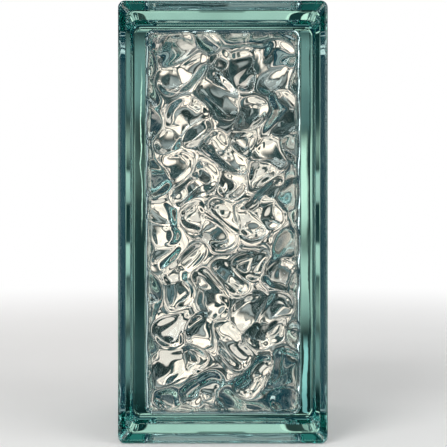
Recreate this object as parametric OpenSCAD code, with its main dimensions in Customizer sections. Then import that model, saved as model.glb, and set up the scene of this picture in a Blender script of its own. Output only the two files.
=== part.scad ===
// Hollow glass block, half size, with an ice relief pressed inside both faces.
// Two pressed glass halves are fused rim to rim along a seam round the block's middle.
// The block stands on a short side: X is its width, Y its depth and Z its height.
// Its front face looks towards -Y, and the origin is at the middle of its base.

/* [Block] */
// Width of the block across its faces
block_width = 90; // [80:1:140]
// Height of the block as it stands
block_height = 190; // [140:1:240]
// Depth of the block from face to face
block_depth = 80; // [74:1:100]

/* [Faces] */
// Mean thickness of each face
face_thickness = 8.5; // [7:0.5:12]
// Radius of the four corners of each face
corner_radius = 3; // [2.5:0.5:8]
// Rounding of the edge round each outer face
edge_radius = 1.5; // [0.5:0.25:2.25]

/* [Mortar channel] */
// Width of the lip behind each face, its rounded edge included
lip_width = 8; // [6:0.5:12]
// Depth of the channel below the lips
channel_depth = 2.5; // [2:0.5:5]
// Width of the slope from a lip down to the channel's floor
lip_slope = 4; // [1:0.5:5]
// Radius of the four corners of the channel's floor
channel_corner = 3.5; // [3:0.5:6]

/* [Side walls] */
// Thickness of the side walls where they meet the faces
wall_at_face = 8.5; // [7:0.5:10]
// Thickness of the side walls at the seam, where the plunger's draft leaves less
wall_at_seam = 6.5; // [5:0.5:7]
// Radius of the corners between the side walls, inside
inner_corner = 4; // [3.5:0.5:10]
// Fillet between each face and its side walls, inside
inner_fillet = 2.5; // [1:0.25:3]

/* [Seam] */
// Radius of the bead's round section
bead_radius = 2.5; // [2:0.5:3.5]
// Height of the bead above the channel's floor
bead_height = 1; // [0.5:0.25:2]

/* [Ice relief] */
// Mean spacing of the lumps of glass
lump_pitch = 12; // [9:0.5:20]
// How far a lump strays from an even grid, as a share of the spacing
lump_scatter = 1; // [0:0.05:1]
// Mean radius of curvature of a lump's crown
lump_radius = 12; // [10:1:40]
// How much that radius differs from lump to lump, as a share
radius_spread = 0.4; // [0:0.05:0.5]
// Steepest slope at the middle of a lump
lump_tilt = 0.15; // [0:0.01:0.25]
// Height over which two lumps blend in the groove between them
groove_blend = 0.45; // [0.05:0.05:0.6]
// How far the grooves sway to either side
groove_sway = 2.5; // [0:0.5:4]
// Length of the sway along the block's height
sway_length = 27; // [15:1:60]
// Length of the sway across the block's width
sway_width = 35; // [15:1:60]
// Most that the relief leaves the mean thickness of the face
relief_limit = 1.5; // [0.5:0.1:2]
// Spacing of the points that carry the relief
relief_step = 2.5; // [2.5:0.25:6]

/* [Hidden] */
$fn = 64;

glass_tint = [0.36, 0.60, 0.60, 0.55];
overrun = 1;
half_depth = block_depth / 2;

half_size = [block_width / 2, block_height / 2];

// From the middle of the block to the centres of the corners of lips and channel
slope_inset = channel_depth + channel_corner;
lip_span = half_size - corner_radius * [1, 1];
channel_span = half_size - slope_inset * [1, 1];
// Height of the lip's underside, and of the point where its slope has left the channel
lip_start = half_depth - lip_width;
slope_start = lip_start - slope_inset * lip_slope / channel_depth;

// The hollow of one half, whose walls lean in by the draft from seam to face
hollow_span = half_size - (channel_depth + wall_at_face + inner_corner) * [1, 1];
hollow_height = half_depth - face_thickness + relief_limit;
hollow_lean = wall_at_face - wall_at_seam;
hollow_reach = inner_corner + hollow_lean;

// The relief's grid covers the hollow and runs past it on all sides
relief_level = half_depth - face_thickness;
relief_half = [for (span = hollow_span) span + hollow_reach + overrun];
columns = ceil(2 * relief_half.x / relief_step);
rows = ceil(2 * relief_half.y / relief_step);
// Mean drop from a lump's crown, over lumps on such a grid
mean_drop = lump_pitch * lump_pitch / (11 * lump_radius);

// One lump for each square of an even grid of that spacing, as centre, slope and radius
lump_reach = 2;
lumps_x = ceil((relief_half.x + groove_sway) / lump_pitch) + lump_reach;
lumps_y = ceil((relief_half.y + groove_sway) / lump_pitch) + lump_reach;
lumps = [for (i = [-lumps_x:lumps_x]) [for (j = [-lumps_y:lumps_y])
    [lump_centre(i, j), lump_slope(i, j), lump_bend(i, j)]]];

// A repeatable scatter between -1 and 1 for square i, j and trait k
function scatter(i, j, k) =
    let (wild = sin(127.1 * i + 311.7 * j + 74.7 * k) * 43758.5453)
    2 * (wild - floor(wild)) - 1;
function lump_centre(i, j) = [
    lump_pitch * (i + lump_scatter * scatter(i, j, 1) / 2),
    lump_pitch * (j + lump_scatter * scatter(i, j, 2) / 2)
];
function lump_slope(i, j) = lump_tilt * [scatter(i, j, 3), scatter(i, j, 4)];
function lump_bend(i, j) = lump_radius * (1 + radius_spread * scatter(i, j, 5));

// Height of one lump at a point: its slope less the fall of its round crown
function crown(lump, point) =
    let (away = point - lump[0])
    lump[1] * away - away * away / (2 * lump[2]);
// The highest of the crowns round a point, blended where two are about as high
function lump_height(point) =
    let (
        i = round(point.x / lump_pitch) + lumps_x,
        j = round(point.y / lump_pitch) + lumps_y,
        near = [for (di = [-lump_reach:lump_reach]) for (dj = [-lump_reach:lump_reach])
            exp(crown(lumps[i + di][j + dj], point) / groove_blend)]
    )
    mean_drop + groove_blend * ln(near * [for (share = near) 1]);
// Top of the hollow above the seam: the swayed lumps stand down into it, within the limit
function relief_height(point) =
    let (
        sway = [sin(360 * point.y / sway_length), sin(360 * point.x / sway_width)],
        rise = -lump_height(point + groove_sway * sway)
    )
    relief_level + rise / sqrt(1 + pow(rise / relief_limit, 2));

front_half();
back_half();

module front_half() {
    color(glass_tint) translate([0, 0, block_height / 2]) rotate([90, 0, 0]) pressed_half();
}

// The same pressing, turned about so that the two rims meet
module back_half() {
    color(glass_tint) translate([0, 0, block_height / 2]) rotate([0, 0, 180]) rotate([90, 0, 0])
        pressed_half();
}

// One half, with its rim on z = 0 and its outer face on top
module pressed_half() {
    difference() {
        union() {
            translate([0, 0, lip_start]) rounded_block(lip_span, lip_width) lip_profile();
            lip_root();
            rounded_block(channel_span, half_depth - edge_radius) channel_profile();
        }
        intersection() {
            rounded_block(hollow_span, hollow_height) hollow_profile();
            relief_block();
        }
    }
}

// A block whose corner centres are at span. The child, drawn from x = 0 outwards,
// is the profile of its sides and goes all the way round.
module rounded_block(span, height) {
    translate([-span.x, -span.y, 0]) cube([2 * span.x, 2 * span.y, height]);
    for (side = [0, 1]) {
        mirror([side, 0, 0]) translate([span.x, 0, 0]) rotate([90, 0, 0])
            linear_extrude(2 * span.y, center = true) children();
        mirror([0, side, 0]) translate([0, span.y, 0]) rotate([90, 0, 90])
            linear_extrude(2 * span.x, center = true) children();
        for (end = [0, 1]) mirror([side, 0, 0]) mirror([0, end, 0])
            translate([span.x, span.y, 0]) rotate_extrude(angle = 90) children();
    }
}

// Outside of a lip, ending in the rounded edge of the face
module lip_profile() {
    square([corner_radius - edge_radius, lip_width]);
    square([corner_radius, lip_width - edge_radius]);
    translate([corner_radius - edge_radius, lip_width - edge_radius]) intersection() {
        square(edge_radius);
        circle(edge_radius);
    }
}

// The slope under a lip, mitred at the corners and running on inside the channel's floor
module lip_root() {
    intersection() {
        rounded_block(lip_span, lip_start) square([corner_radius, lip_start]);
        rotate([90, 0, 0]) linear_extrude(block_height, center = true) root_outline(half_size.x);
        rotate([90, 0, 90]) linear_extrude(block_width, center = true) root_outline(half_size.y);
    }
}
module root_outline(reach) {
    polygon([
        [slope_inset - reach, slope_start],
        [reach - slope_inset, slope_start],
        [reach, lip_start],
        [-reach, lip_start]
    ]);
}

// Outside of a side wall below the lip: the channel's floor and half of the fused bead
module channel_profile() {
    square([channel_corner, half_depth - edge_radius]);
    intersection() {
        square([channel_corner + bead_height, bead_radius]);
        translate([channel_corner + bead_height - bead_radius, 0]) circle(bead_radius);
    }
}

// Inside of a side wall: it leans in by the draft and ends in the fillet
module hollow_profile() {
    slant = norm([hollow_height, hollow_lean]);
    centre_height = hollow_height - inner_fillet;
    centre_reach = hollow_reach
        - (inner_fillet * slant + centre_height * hollow_lean) / hollow_height;
    touch = [centre_reach, centre_height] + inner_fillet / slant * [hollow_height, hollow_lean];
    intersection() {
        square([hollow_reach, hollow_height]);
        union() {
            polygon([
                [0, 0],
                [hollow_reach, 0],
                touch,
                [centre_reach, hollow_height],
                [0, hollow_height]
            ]);
            translate([centre_reach, centre_height]) circle(inner_fillet);
        }
    }
}

// A block with the ice relief on top, on a grid of points, and its sides past the hollow
module relief_block() {
    step = [2 * relief_half.x / columns, 2 * relief_half.y / rows];
    spots = [for (i = [0:columns]) for (j = [0:rows]) [i * step.x, j * step.y] - relief_half];
    rim = concat(
        [for (i = [0:columns - 1]) spot(i, 0)],
        [for (j = [0:rows - 1]) spot(columns, j)],
        [for (i = [columns:-1:1]) spot(i, rows)],
        [for (j = [rows:-1:1]) spot(0, j)]
    );
    top = [for (place = spots) [place.x, place.y, relief_height(place)]];
    foot = [for (index = rim) [spots[index].x, spots[index].y, -overrun]];
    first_foot = len(top);
    middle = first_foot + len(foot);
    polyhedron(
        points = concat(top, foot, [[0, 0, -overrun]]),
        faces = concat(
            [for (i = [0:columns - 1]) for (j = [0:rows - 1]) for (half = [0, 1]) half == 0
                ? [spot(i, j), spot(i, j + 1), spot(i + 1, j + 1)]
                : [spot(i, j), spot(i + 1, j + 1), spot(i + 1, j)]],
            [for (k = [0:len(rim) - 1]) let (next = (k + 1) % len(rim))
                [rim[k], rim[next], first_foot + next, first_foot + k]],
            [for (k = [0:len(rim) - 1]) let (next = (k + 1) % len(rim))
                [middle, first_foot + k, first_foot + next]]
        )
    );
}
function spot(i, j) = i * (rows + 1) + j;
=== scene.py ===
# Dresses the hollow glass block: one fused glass body with an ice relief inside both faces
import math
import bpy
import numpy as np
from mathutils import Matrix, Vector


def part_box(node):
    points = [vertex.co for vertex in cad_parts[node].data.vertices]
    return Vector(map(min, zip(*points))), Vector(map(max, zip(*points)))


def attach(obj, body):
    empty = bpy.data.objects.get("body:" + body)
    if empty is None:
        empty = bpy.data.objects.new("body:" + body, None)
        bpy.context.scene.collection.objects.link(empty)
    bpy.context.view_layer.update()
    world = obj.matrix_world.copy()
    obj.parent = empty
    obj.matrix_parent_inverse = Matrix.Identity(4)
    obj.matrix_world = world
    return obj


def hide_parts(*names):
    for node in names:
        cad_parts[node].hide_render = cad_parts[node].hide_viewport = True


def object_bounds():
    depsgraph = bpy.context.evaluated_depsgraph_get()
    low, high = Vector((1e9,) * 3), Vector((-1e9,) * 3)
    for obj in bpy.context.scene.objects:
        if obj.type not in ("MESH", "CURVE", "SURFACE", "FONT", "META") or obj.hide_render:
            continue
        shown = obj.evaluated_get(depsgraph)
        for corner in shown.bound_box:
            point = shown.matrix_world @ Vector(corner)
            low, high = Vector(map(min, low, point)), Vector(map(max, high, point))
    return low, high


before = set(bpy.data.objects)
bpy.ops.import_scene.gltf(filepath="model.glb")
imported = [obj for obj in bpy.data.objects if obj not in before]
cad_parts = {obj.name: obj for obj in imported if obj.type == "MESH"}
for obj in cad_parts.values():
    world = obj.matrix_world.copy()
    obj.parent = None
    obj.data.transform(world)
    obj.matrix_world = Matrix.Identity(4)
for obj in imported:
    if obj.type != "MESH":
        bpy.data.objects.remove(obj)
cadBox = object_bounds()
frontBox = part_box("front_half")

# Lengths are in millimetres where nothing else is said, and the block's come from the frame
millimetre = 0.001
blockWidth = (cadBox[1].x - cadBox[0].x) / millimetre
blockHeight = (cadBox[1].z - cadBox[0].z) / millimetre
halfDepth = (frontBox[1].y - frontBox[0].y) / millimetre
blockMiddle = Vector((0, 0, blockHeight / 2 * millimetre))


# The ice relief on the inner side of a face, in millimetres and slopes: round lumps of
# glass, fine lumps on them, and the waves that bend the grooves between them
relief = dict(
    coarse=dict(pitch=12.0, scatter=1.0, radius=12.0, spread=0.4, tilt=0.15, blend=0.45, first=0),
    fine=dict(pitch=6.0, scatter=0.9, radius=60.0, spread=0.4, tilt=0.04, blend=0.06, first=10),
    reach=2,                                        # how many squares off a lump still counts
    meanDrop=11,                                    # pitch squared over radius and mean drop
    warp=2.5, wave=(27.0, 35.0),                    # sway of the grooves and its two lengths
    limit=1.5, step=0.55,                           # most rise, and spacing of the mesh
    mixture=(127.1, 311.7, 74.7), stretch=43758.5453,   # makes a scatter of a lump's numbers
)


def scatterAt(i, j, trait):
    # twice the fraction of a much stretched sine of the mixture, less one: -1 .. 1
    mixture = relief["mixture"]
    angle = np.radians(mixture[0] * i + mixture[1] * j + mixture[2] * trait)
    wild = np.sin(angle) * relief["stretch"]
    return 2 * (wild - np.floor(wild)) - 1


def lumps(x, y, v):
    # soft maximum over the near lumps of: slope times distance, less distance squared
    # over twice the lump's radius, all above its own mean
    squareI = np.round(x / v["pitch"])
    squareJ = np.round(y / v["pitch"])
    near = range(-relief["reach"], relief["reach"] + 1)
    total = np.zeros_like(x)
    for di in near:
        for dj in near:
            i = squareI + di
            j = squareJ + dj
            awayX = x - v["pitch"] * (i + v["scatter"] * scatterAt(i, j, v["first"] + 1) / 2)
            awayY = y - v["pitch"] * (j + v["scatter"] * scatterAt(i, j, v["first"] + 2) / 2)
            bend = v["radius"] * (1 + v["spread"] * scatterAt(i, j, v["first"] + 5))
            slope = v["tilt"] * (scatterAt(i, j, v["first"] + 3) * awayX
                                 + scatterAt(i, j, v["first"] + 4) * awayY)
            total += np.exp((slope - (awayX ** 2 + awayY ** 2) / (2 * bend)) / v["blend"])
    return v["pitch"] ** 2 / (relief["meanDrop"] * v["radius"]) + v["blend"] * np.log(total)


def reliefRise(x, y):
    # how far the hollow reaches into the face: less both kinds of lumps, on a sheet that
    # two sine waves bend, eased into the limit
    v = relief
    bentX = x + v["warp"] * np.sin(2 * math.pi * y / v["wave"][0])
    bentY = y + v["warp"] * np.sin(2 * math.pi * x / v["wave"][1])
    rise = -lumps(bentX, bentY, v["coarse"]) - lumps(bentX, bentY, v["fine"])
    return rise / np.sqrt(1 + (rise / v["limit"]) ** 2)


# Section of one half, in millimetres, and the points of its arcs
section = dict(
    cornerRadius=3.0, edgeRadius=1.5, faceThickness=8.5,
    lipWidth=8.0, lipSlope=4.0, slopeFillet=1.0,
    channelDepth=2.5, channelCorner=3.5, beadRadius=2.5, beadHeight=1.0,
    wallAtFace=8.5, wallAtSeam=6.5, innerCorner=4.0, innerFillet=2.5,
    faceRing=0.6, faceCorner=0.4,                   # the flat ring inside a face's round edge
    sharpest=0.3, filletGap=0.5,                    # least ring corner, and wall below its fillet
    arcPoints=9, filletPoints=6, cornerPoints=7,
)


def arc(centre, radius, start, end, count):
    # points at centre + radius * (cos, sin), from one angle to the other
    turn = np.radians(np.linspace(start, end, count))
    return np.stack([centre[0] + radius * np.cos(turn), centre[1] + radius * np.sin(turn)], 1)


def squeezeCorners(x, y, halfX, halfY, corner):
    # in a corner's square each point moves along its ray from the corner's centre, to the
    # distance of the larger of its two offsets
    dx = np.abs(x) - (halfX - corner)
    dy = np.abs(y) - (halfY - corner)
    inside = (dx > 0) & (dy > 0)
    length = np.where(inside, np.hypot(dx, dy), 1.0)
    scale = np.where(inside, np.maximum(dx, dy) / length, 1.0)
    newX = np.where(inside, np.sign(x) * (halfX - corner + dx * scale), x)
    newY = np.where(inside, np.sign(y) * (halfY - corner + dy * scale), y)
    return newX, newY


def roundedRing(inset, corner, columns, rows):
    # even points along the four sides of a rectangle, its corners squeezed round
    halfX = blockWidth / 2 - inset
    halfY = blockHeight / 2 - inset
    u = np.linspace(-1, 1, columns + 1)
    v = np.linspace(-1, 1, rows + 1)
    x = np.concatenate([u[:-1], np.ones(rows), -u[:-1], -np.ones(rows)]) * halfX
    y = np.concatenate([-np.ones(columns), v[:-1], np.ones(columns), -v[:-1]]) * halfY
    return squeezeCorners(x, y, halfX, halfY, corner)


def cornerRing(inset, corner, steps):
    # a rounded rectangle with points only on its corner arcs: centre + corner * (cos, sin)
    halfX = blockWidth / 2 - inset - corner
    halfY = blockHeight / 2 - inset - corner
    x, y = [], []
    for signX, signY, start in ((-1, -1, 180), (1, -1, 270), (1, 1, 0), (-1, 1, 90)):
        points = arc((signX * halfX, signY * halfY), corner, start, start + 90, steps)
        x.append(points[:, 0])
        y.append(points[:, 1])
    return np.concatenate(x), np.concatenate(y)


def outerProfile():
    # (inset, height, corner radius) of one half's outside, from the seam to the face:
    # half the round bead, channel floor, slope with soft ends, lip and rounded edge
    s = section
    lipStart = halfDepth - s["lipWidth"]
    slopeEnd = lipStart - s["lipSlope"]
    beadCentre = s["channelDepth"] - s["beadHeight"] + s["beadRadius"]
    leave = math.degrees(math.acos((s["beadRadius"] - s["beadHeight"]) / s["beadRadius"]))
    bead = arc((-beadCentre, 0), s["beadRadius"], 0, leave, s["arcPoints"])
    points = [(-x, z, s["channelCorner"] + s["channelDepth"] + x) for x, z in bead]
    lean = math.atan2(s["channelDepth"], s["lipSlope"])
    # fillets below and above the slope, tangent to it and to the floor or lip
    reach = s["slopeFillet"] * math.tan(lean / 2)
    shares = np.linspace(0, 1, s["filletPoints"])
    for turn in shares * lean:
        inset = s["channelDepth"] - s["slopeFillet"] * (1 - math.cos(turn))
        height = slopeEnd - reach + s["slopeFillet"] * math.sin(turn)
        points.append((inset, height, s["channelCorner"]))
    for turn in lean * (1 - shares):
        inset = s["slopeFillet"] * (1 - math.cos(turn))
        height = lipStart + reach - s["slopeFillet"] * math.sin(turn)
        points.append((inset, height, s["cornerRadius"]))
    edgeCentre = (-s["edgeRadius"], halfDepth - s["edgeRadius"])
    edge = arc(edgeCentre, s["edgeRadius"], 0, 90, s["arcPoints"])
    points += [(-x, z, s["cornerRadius"] + x) for x, z in edge]
    points.append((s["edgeRadius"] + s["faceRing"], halfDepth, s["faceCorner"]))
    return points


def innerProfile():
    # (inset, height, corner radius) of one half's hollow, from the seam to the relief:
    # the leaning wall, then a fillet tangent to it and to the face's mean level
    s = section
    level = halfDepth - s["faceThickness"]
    wall = s["channelDepth"] + s["wallAtFace"]
    lean = s["wallAtFace"] - s["wallAtSeam"]
    points = [(wall - lean * (1 - z / level), z, s["innerCorner"] + lean * (1 - z / level))
              for z in (0.0, level / 2, level - s["innerFillet"] - s["filletGap"])]
    fillet = arc((0, level - s["innerFillet"]), s["innerFillet"], 0, 90, s["arcPoints"])
    points += [(wall + s["innerFillet"] - x, z, s["innerCorner"] - s["innerFillet"] + x)
               for x, z in fillet]
    return points


def bridge(first, second, count):
    # quads between two closed rings of count points each
    k = np.arange(count)
    following = (k + 1) % count
    return np.stack([first + k, first + following, second + following, second + k], 1)


def outerShell():
    # rings of the profile, front half mirrored into the back half, and a cap on each face
    profile = outerProfile()
    steps = section["cornerPoints"]
    rings = [(i, -z, r) for i, z, r in profile[::-1]] + [(i, z, r) for i, z, r in profile[1:]]
    points = []
    for inset, depth, corner in rings:
        x, z = cornerRing(inset, max(corner, section["sharpest"]), steps)
        points.append(np.stack([x, np.full_like(x, depth), z], 1))
    count = 4 * steps
    quads = [bridge((k + 1) * count, k * count, count) for k in range(len(rings) - 1)]
    caps = [list(range(count)), list(range((len(rings) - 1) * count, len(rings) * count))[::-1]]
    return np.concatenate(points), np.concatenate(quads), caps


def reliefSheet(inset, corner):
    # even points over the face's inside, its corners squeezed round, and the rise at each
    halfX = blockWidth / 2 - inset
    halfY = blockHeight / 2 - inset
    columns = int(2 * halfX / relief["step"])
    rows = int(2 * halfY / relief["step"])
    x, y = np.meshgrid(np.linspace(-1, 1, columns + 1) * halfX,
                       np.linspace(-1, 1, rows + 1) * halfY)
    x, y = squeezeCorners(x, y, halfX, halfY, corner)
    return x, y, reliefRise(x, y)


def sheetRim(columns, rows):
    # index of a sheet's rim points, in the order of roundedRing: row times row length
    # plus column
    along = np.arange(columns)
    up = np.arange(rows)
    length = columns + 1
    return np.concatenate([along, up * length + columns,
                           rows * length + columns - along, (rows - up) * length])


def mirrorRing(columns, rows):
    # place on the ring of the point with x turned to -x
    bottom = (columns - np.arange(columns)) % (2 * (columns + rows))
    right = (2 * (columns + rows) - np.arange(rows)) % (2 * (columns + rows))
    top = columns + rows + columns - np.arange(columns)
    left = columns + rows - np.arange(rows)
    return np.concatenate([bottom, right, top, left])


def hollowShell():
    # rings of the wall between two relief sheets, which look into the hollow. The back half
    # is the same pressing turned about, so its relief runs mirrored in x
    profile = innerProfile()
    inset, level, corner = profile[-1]
    sheetX, sheetY, rise = reliefSheet(inset, corner)
    rows, columns = rise.shape[0] - 1, rise.shape[1] - 1
    rim = sheetRim(columns, rows)
    count = len(rim)
    rimRise = rise.ravel()[rim]
    rings = []
    filletStart = level - section["innerFillet"]
    for inset, height, corner in profile[:-1]:
        # the fillet carries the relief's rise, fading out down the wall
        share = max(0.0, (height - filletStart) / section["innerFillet"])
        rings.append((*roundedRing(inset, corner, columns, rows), height, share))
    points = [np.stack([sheetX.ravel(), -(level + rise.ravel()), sheetY.ravel()], 1)]
    backRise = rimRise[mirrorRing(columns, rows)]
    for sign, carried, order in ((-1, rimRise, rings[::-1]), (1, backRise, rings[1:])):
        for x, y, height, share in order:
            points.append(np.stack([x, sign * (height + share * carried), y], 1))
    starts = [rise.size + k * count for k in range(len(points) - 1)]
    back = starts[-1] + count
    points.append(np.stack([sheetX.ravel(), level + rise[:, ::-1].ravel(), sheetY.ravel()], 1))
    cell = (np.arange(rows)[:, None] * (columns + 1) + np.arange(columns)[None, :]).ravel()
    sheet = np.stack([cell, cell + 1, cell + columns + 2, cell + columns + 1], 1)
    here = np.arange(count)
    there = (here + 1) % count
    nextRim = np.roll(rim, -1)
    quads = [sheet[:, ::-1], np.stack([rim, nextRim, starts[0] + there, starts[0] + here], 1)]
    quads += [bridge(first, second, count) for first, second in zip(starts[:-1], starts[1:])]
    quads += [sheet + back, np.stack([starts[-1] + here, starts[-1] + there,
                                      back + nextRim, back + rim], 1)]
    return np.concatenate(points), np.concatenate(quads)


def blockMesh(name):
    # both shells in one mesh: every point raised by half the block's height, in metres
    outerPoints, outerQuads, caps = outerShell()
    hollowPoints, hollowQuads = hollowShell()
    points = np.concatenate([outerPoints, hollowPoints])
    points[:, 2] += blockHeight / 2
    faces = outerQuads.tolist() + caps
    faces += (hollowQuads + len(outerPoints)).tolist()
    mesh = bpy.data.meshes.new(name)
    mesh.from_pydata((points * millimetre).tolist(), [], faces)
    mesh.polygons.foreach_set("use_smooth", np.ones(len(mesh.polygons), dtype=bool))
    mesh.update()
    return mesh


def noiseTexture(nodes, links, where, scale, detail):
    # noise at the given coordinates, 0 .. 1 about a half
    noise = nodes.new("ShaderNodeTexNoise")
    noise.inputs["Scale"].default_value = scale
    noise.inputs["Detail"].default_value = detail
    links.new(where, noise.inputs["Vector"])
    return noise.outputs[0]


def mapRange(nodes, links, value, span, result=(0, 1), ease="SMOOTHSTEP"):
    # the share of its span that the value has passed, as the same share of the result's
    node = nodes.new("ShaderNodeMapRange")
    node.interpolation_type = ease
    for socket, limit in zip(("From Min", "From Max", "To Min", "To Max"), (*span, *result)):
        node.inputs[socket].default_value = limit
    links.new(value, node.inputs[0])
    return node.outputs[0]


def mathNode(nodes, links, operation, first, second):
    # the named operation on two values
    node = nodes.new("ShaderNodeMath")
    node.operation = operation
    links.new(first, node.inputs[0])
    links.new(second, node.inputs[1])
    return node.outputs[0]


def blendColours(nodes, links, share, colours):
    # first colour times one less share, and second colour times share
    blend = nodes.new("ShaderNodeMix")
    blend.data_type = "RGBA"
    blend.inputs[6].default_value = (*colours[0], 1)
    blend.inputs[7].default_value = (*colours[1], 1)
    links.new(share, blend.inputs[0])
    return blend.outputs[2]


def mixShaders(nodes, links, share, first, second, out):
    # first shader times one less share, and second shader times share, to the output
    mix = nodes.new("ShaderNodeMixShader")
    links.new(share, mix.inputs[0])
    links.new(first, mix.inputs[1])
    links.new(second, mix.inputs[2])
    links.new(mix.outputs[0], out.inputs[0])


# Glass: index, absorption density a metre and the colour that is let through; the waves
# that fire polish leaves and the fine orange peel of the mould, as height in metres and
# scale a metre; and the roughness where it is cleanest and where it is most worn, with the
# noise of the wear and the span of it that is taken
glass = dict(
    index=1.52, density=15.0, colour=(0.02, 0.66, 0.61),
    wave=dict(height=0.00004, scale=70.0, detail=1.0),
    peel=dict(height=0.0000008, scale=700.0, detail=1.0),
    roughness=(0.0, 0.008), wear=dict(scale=45.0, detail=3.0, span=(0.5, 0.8)),
)


def glassMaterial():
    # one body of tinted glass: the bumps add wave and peel, each its noise times its height;
    # roughness = between its two values by a noise of worn patches
    material = bpy.data.materials.new("pressed_glass")
    material.use_nodes = True
    nodes, links = material.node_tree.nodes, material.node_tree.links
    shader = nodes["Principled BSDF"]
    shader.inputs["Base Color"].default_value = (1, 1, 1, 1)
    shader.inputs["Transmission Weight"].default_value = 1
    shader.inputs["IOR"].default_value = glass["index"]
    where = nodes.new("ShaderNodeTexCoord").outputs["Object"]
    normal = None
    for v in (glass["wave"], glass["peel"]):
        bump = nodes.new("ShaderNodeBump")
        bump.inputs["Distance"].default_value = v["height"]
        noise = noiseTexture(nodes, links, where, v["scale"], v["detail"])
        links.new(noise, bump.inputs["Height"])
        if normal:
            links.new(normal, bump.inputs["Normal"])
        normal = bump.outputs[0]
    links.new(normal, shader.inputs["Normal"])
    v = glass["wear"]
    worn = noiseTexture(nodes, links, where, v["scale"], v["detail"])
    rough = mapRange(nodes, links, worn, v["span"], glass["roughness"], "LINEAR")
    links.new(rough, shader.inputs["Roughness"])
    absorb = nodes.new("ShaderNodeVolumeAbsorption")
    absorb.inputs["Color"].default_value = (*glass["colour"], 1)
    absorb.inputs["Density"].default_value = glass["density"]
    links.new(absorb.outputs[0], nodes["Material Output"].inputs["Volume"])
    return material


def addBlock():
    # the one visible piece, in place of both CAD nodes
    mesh = blockMesh("glass_block")
    mesh.materials.append(glassMaterial())
    block = bpy.data.objects.new("glass_block", mesh)
    bpy.context.scene.collection.objects.link(block)
    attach(block, "root")
    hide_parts("front_half", "back_half")
    print("block:", len(mesh.polygons), "faces")


photoView = dict(
    distance=350.0,                 # from the lens to the front face
    pixels=447,                     # along each side of the picture
    pixelsAMillimetre=2.34,         # at the front face
    blockMiddle=(222.85, 221.9),    # of the block in the photo, in pixels
)


def addCamera():
    # the frame's width at the front face sets the lens; the block's middle sets the place
    v = photoView
    camera = bpy.data.objects.new("camera", bpy.data.cameras.new("camera"))
    bpy.context.scene.collection.objects.link(camera)
    frameWidth = v["pixels"] / v["pixelsAMillimetre"]
    camera.data.lens = camera.data.sensor_width * v["distance"] / frameWidth
    right = (v["pixels"] / 2 - v["blockMiddle"][0]) / v["pixelsAMillimetre"]
    down = (v["pixels"] / 2 - v["blockMiddle"][1]) / v["pixelsAMillimetre"]
    place = (right, -(halfDepth + v["distance"]), blockHeight / 2 - down)
    camera.location = Vector(place) * millimetre
    camera.rotation_euler = (math.pi / 2, 0, 0)
    bpy.context.scene.camera = camera
    print("camera: lens", round(camera.data.lens, 1))


def stagePlane(name, size, place, turn, material):
    # a flat rectangle of the given width and height, turned about its middle
    w, h = size[0] / 2, size[1] / 2
    mesh = bpy.data.meshes.new(name)
    mesh.from_pydata([(-w, -h, 0), (w, -h, 0), (w, h, 0), (-w, h, 0)], [], [(0, 1, 2, 3)])
    mesh.materials.append(material)
    plane = bpy.data.objects.new(name, mesh)
    plane.location = place
    plane.rotation_euler = turn
    bpy.context.scene.collection.objects.link(plane)
    return plane


def whenSeen(nodes, links):
    # 1 for rays from the camera, for reflections and through glass, else 0
    path = nodes.new("ShaderNodeLightPath").outputs
    both = mathNode(nodes, links, "MAXIMUM", path["Is Glossy Ray"], path["Is Transmission Ray"])
    return mathNode(nodes, links, "MAXIMUM", path["Is Camera Ray"], both)


# The floor: its colour and its patches' colour, the patches' scale a metre, and the
# distances in metres between which it fades into the white background
floor = dict(size=8.0, colours=((0.86, 0.86, 0.85), (0.80, 0.80, 0.79)), roughness=0.7,
             scale=9.0, detail=2.0, fade=(0.12, 0.9))


def floorMaterial():
    # pale with faint patches; far off it is as white as the background where it is seen:
    # share = smoothstep of the distance from the block's middle, between the two distances
    material = bpy.data.materials.new("pale_floor")
    material.use_nodes = True
    nodes, links = material.node_tree.nodes, material.node_tree.links
    shader = nodes["Principled BSDF"]
    shader.inputs["Roughness"].default_value = floor["roughness"]
    where = nodes.new("ShaderNodeTexCoord").outputs["Object"]
    patches = noiseTexture(nodes, links, where, floor["scale"], floor["detail"])
    pale = blendColours(nodes, links, patches, floor["colours"])
    links.new(pale, shader.inputs["Base Color"])
    away = nodes.new("ShaderNodeVectorMath")
    away.operation = "LENGTH"
    links.new(where, away.inputs[0])
    far = mapRange(nodes, links, away.outputs["Value"], floor["fade"])
    share = mathNode(nodes, links, "MULTIPLY", far, whenSeen(nodes, links))
    white = nodes.new("ShaderNodeEmission").outputs[0]
    mixShaders(nodes, links, share, shader.outputs[0], white, nodes["Material Output"])
    return material


# What the glass shows round it: a dim studio with bright panels, unseen by the camera
# itself. Each glow is two colours that patches of a surface fade between
glows = dict(
    walls=((0.004, 0.034, 0.052), (0.015, 0.065, 0.085)),
    veil=((0.006, 0.018, 0.017), (0.21, 0.19, 0.17)),
    sun=((1.9, 1.46, 1.24), (1.1, 0.9, 0.79)),
    haze=((1.25, 1.0, 0.88), (0.66, 0.57, 0.52)),
    warm=((1.8, 1.4, 1.2), (0.9, 0.74, 0.65)),
    soft=((1.15, 0.92, 0.82), (0.5, 0.42, 0.38)),
    grey=((0.46, 0.44, 0.42), (0.22, 0.24, 0.24)),
    cool=((0.95, 1.02, 1.0), (0.42, 0.54, 0.56)),
    ceiling=((0.42, 0.48, 0.47), (0.26, 0.32, 0.32)),
    dusk=((0.23, 0.24, 0.23), (0.07, 0.10, 0.11)),
    ground=((0.30, 0.36, 0.36), (0.16, 0.22, 0.23)),
    frame=((0.012, 0.038, 0.038), (0.055, 0.085, 0.085)),
    shade=((0.06, 0.11, 0.12), (0.16, 0.22, 0.23)),
    tube=((2.3, 1.7, 1.45), (1.5, 1.15, 1.0)),
)

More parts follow.
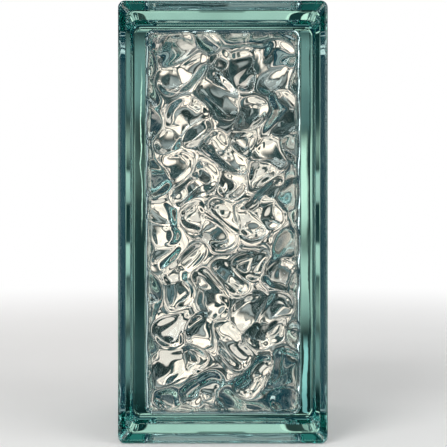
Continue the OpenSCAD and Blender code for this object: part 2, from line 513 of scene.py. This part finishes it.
# The room's distances are in metres and its patches' scale a metre; patchSpan is the span
# of their noise that is taken. Each card has its direction from the block as azimuth (0 is
# behind it, 90 to its right) and elevation, its width and height, all in degrees, its glow,
# and the share of its width and height that fades out at each edge. Each card stands a
# little nearer than the one before, and hides it
room = dict(
    radius=1.5, cardStep=0.01, shell=1.2, segments=(48, 24),
    patch=dict(scale=3.5, detail=3.0), patchSpan=(0.45, 0.7),
    cards=[
        dict(name="veil", at=(0, 0), size=(80, 80), glow="veil", soft=(0.1, 0.1)),
        dict(name="pane_band", at=(0.5, 3.2), size=(13.8, 12), glow="sun", soft=(0.02, 0.3)),
        dict(name="pane_lower", at=(-0.55, -5), size=(11.7, 9), glow="warm", soft=(0.02, 0.3)),
        dict(name="pane_sill", at=(6.95, -5.5), size=(0.9, 9), glow="haze", soft=(0.05, 0.35)),
        dict(name="bar_middle", at=(-0.1, 0), size=(3.6, 20), glow="frame", soft=(0.1, 0.3)),
        dict(name="bar_right", at=(5.95, 3.2), size=(1.1, 6), glow="frame", soft=(0.1, 0.2)),
        dict(name="rail_high", at=(-0.55, 3.1), size=(11.7, 3.2), glow="soft", soft=(0.02, 0.2)),
        dict(name="rail_low", at=(-0.8, -3.2), size=(11.2, 3.4), glow="haze", soft=(0.02, 0.2)),
        dict(name="pane_upper", at=(-4.2, 12.6), size=(8.4, 9), glow="grey", soft=(0.1, 0.3)),
        dict(name="shade_high", at=(6, 21), size=(16, 10), glow="frame", soft=(0.2, 0.2)),
        dict(name="shade_middle", at=(4, 13), size=(7.5, 14), glow="frame", soft=(0.1, 0.3)),
        dict(name="pane_corner", at=(7.15, 12.2), size=(1.0, 10), glow="grey", soft=(0.1, 0.2)),
        dict(name="pane_toe", at=(7.2, -14), size=(0.44, 9), glow="cool", soft=(0.15, 0.2)),
        dict(name="shade_left", at=(-8.6, -7), size=(4.4, 21), glow="frame", soft=(0.1, 0.2)),
        dict(name="shade_right", at=(10, -8), size=(4.6, 14), glow="shade", soft=(0.2, 0.2)),
        dict(name="tube", at=(-7.26, 6.4), size=(0.1, 15.7), glow="tube", soft=(0.2, 0.2)),
        dict(name="pane_left", at=(-15, 1), size=(13, 34), glow="sun", soft=(0.12, 0.2)),
        dict(name="pane_high", at=(-10, 29), size=(22, 14), glow="soft", soft=(0.12, 0.12)),
        dict(name="pane_foot", at=(-12, -27), size=(32, 14), glow="soft", soft=(0.12, 0.12)),
        dict(name="pane_low", at=(0, -12), size=(9, 6), glow="grey", soft=(0.2, 0.3)),
        dict(name="pane_right", at=(15.5, -2), size=(6, 22), glow="soft", soft=(0.2, 0.2)),
        dict(name="side_right", at=(105, 0), size=(28, 42), glow="cool", soft=(0.12, 0.12)),
        dict(name="side_left", at=(-106, -4), size=(28, 46), glow="cool", soft=(0.12, 0.12)),
        dict(name="back_right", at=(156, 2), size=(22, 40), glow="cool", soft=(0.12, 0.12)),
        dict(name="back_left", at=(-156, -4), size=(22, 44), glow="cool", soft=(0.12, 0.12)),
        dict(name="back_middle", at=(180, 0), size=(20, 34), glow="dusk", soft=(0.2, 0.2)),
        dict(name="back_high", at=(180, 26), size=(36, 12), glow="cool", soft=(0.12, 0.12)),
        dict(name="back_low", at=(178, -26), size=(40, 14), glow="cool", soft=(0.12, 0.12)),
        dict(name="near_left", at=(-44, -31), size=(28, 22), glow="cool", soft=(0.12, 0.12)),
        dict(name="near_right", at=(47, -32), size=(26, 22), glow="cool", soft=(0.12, 0.12)),
        dict(name="high_left", at=(-62, 36), size=(30, 18), glow="cool", soft=(0.12, 0.12)),
        dict(name="high_right", at=(64, 38), size=(26, 20), glow="cool", soft=(0.12, 0.12)),
        dict(name="ceiling", at=(0, 64), size=(34, 26), glow="ceiling", soft=(0.12, 0.12)),
        dict(name="pale_ground", at=(180, -82), size=(70, 70), glow="ground", soft=(0.3, 0.3)),
        dict(name="near_ground", at=(0, -62), size=(60, 24), glow="ground", soft=(0.3, 0.3)),
    ],
)


def onlyInGlass(thing):
    # the camera, the floor and the lamps don't meet it; glass and reflections do
    thing.visible_camera = False
    thing.visible_diffuse = False
    thing.visible_shadow = False
    thing.visible_volume_scatter = False


def glowMaterial(name, colours, soft=None):
    # plain light that a noise fades between two colours; with soft edges it fades to clear
    # near the card's rim: each way the distance to the nearer side, over the softness, and
    # the product of both
    material = bpy.data.materials.new(name)
    material.use_nodes = True
    nodes, links = material.node_tree.nodes, material.node_tree.links
    nodes.clear()
    out = nodes.new("ShaderNodeOutputMaterial")
    glow = nodes.new("ShaderNodeEmission")
    where = nodes.new("ShaderNodeTexCoord").outputs
    patch = room["patch"]
    patches = noiseTexture(nodes, links, where["Object"], patch["scale"], patch["detail"])
    share = mapRange(nodes, links, patches, room["patchSpan"])
    links.new(blendColours(nodes, links, share, colours), glow.inputs[0])
    if not soft:
        links.new(glow.outputs[0], out.inputs[0])
        return material
    apart = nodes.new("ShaderNodeSeparateXYZ")
    links.new(where["Generated"], apart.inputs[0])
    shares = []
    for axis, edge in enumerate(soft):
        fold = nodes.new("ShaderNodeMath")
        fold.operation = "PINGPONG"
        fold.inputs[1].default_value = 0.5
        links.new(apart.outputs[axis], fold.inputs[0])
        shares.append(mapRange(nodes, links, fold.outputs[0], (0, edge)))
    both = mathNode(nodes, links, "MULTIPLY", *shares)
    clear = nodes.new("ShaderNodeBsdfTransparent").outputs[0]
    mixShaders(nodes, links, both, clear, glow.outputs[0], out)
    return material


def addRoom():
    # each card stands at radius times (sin az cos el, cos az cos el, sin el) from the
    # block's middle, as large as twice the radius times the tangent of half its angle
    segments, rings = room["segments"]
    bpy.ops.mesh.primitive_uv_sphere_add(segments=segments, ring_count=rings,
                                         radius=room["shell"] * room["radius"],
                                         location=blockMiddle)
    shell = bpy.context.object
    shell.name = "room"
    shell.data.materials.append(glowMaterial("dim_room", glows["walls"]))
    onlyInGlass(shell)
    for order, card in enumerate(room["cards"]):
        az, el = (math.radians(angle) for angle in card["at"])
        radius = room["radius"] - room["cardStep"] * order
        toward = Vector((math.sin(az) * math.cos(el), math.cos(az) * math.cos(el), math.sin(el)))
        size = [2 * radius * math.tan(math.radians(angle) / 2) for angle in card["size"]]
        turn = (-toward).to_track_quat("Z", "Y").to_euler()
        material = glowMaterial(card["name"], glows[card["glow"]], card["soft"])
        onlyInGlass(stagePlane(card["name"], size, blockMiddle + toward * radius, turn, material))
    print("room:", len(room["cards"]), "cards")


# Strength of the world as light, and as the white background where it is seen
studio = dict(light=0.6, seen=1.0)


def addStage():
    # the glass shows the room all round, and the camera the floor
    ground = stagePlane("floor", [floor["size"]] * 2, (0, 0, 0), (0, 0, 0), floorMaterial())
    ground.visible_transmission = False
    ground.visible_glossy = False
    world = bpy.data.worlds.new("studio")
    bpy.context.scene.world = world
    world.use_nodes = True
    nodes, links = world.node_tree.nodes, world.node_tree.links
    nodes.clear()
    out = nodes.new("ShaderNodeOutputWorld")
    whites = []
    for strength in (studio["light"], studio["seen"]):
        white = nodes.new("ShaderNodeBackground")
        white.inputs[0].default_value = (1, 1, 1, 1)
        white.inputs[1].default_value = strength
        whites.append(white.outputs[0])
    mixShaders(nodes, links, whenSeen(nodes, links), *whites, out)
    print("stage: floor", floor["size"], "m wide")


# Place and width of each square lamp in metres, and its power in watts
lamps = dict(
    key=dict(place=(-0.6, -0.8, 1.0), width=0.6, power=8),
    fill=dict(place=(0.8, -0.5, 0.6), width=0.8, power=4),
)


def addLamps():
    # each looks from its place to the block's middle
    for name, v in lamps.items():
        light = bpy.data.lights.new(name, "AREA")
        light.shape = "SQUARE"
        light.size = v["width"]
        light.energy = v["power"]
        lamp = bpy.data.objects.new(name, light)
        lamp.location = v["place"]
        lamp.rotation_euler = (blockMiddle - Vector(v["place"])).to_track_quat("-Z", "Y").to_euler()
        bpy.context.scene.collection.objects.link(lamp)
    print("lamps:", len(lamps))


def setRender():
    # enough bounces to pass both walls, the hollow and the mirroring inside them
    scene = bpy.context.scene
    scene.view_settings.view_transform = "Standard"
    cycles = scene.cycles
    cycles.max_bounces = 32
    cycles.transmission_bounces = 32
    cycles.glossy_bounces = 16
    cycles.transparent_max_bounces = 16
    cycles.caustics_refractive = True
    cycles.caustics_reflective = True


addCamera()
addBlock()
addStage()
addRoom()
addLamps()
setRender()
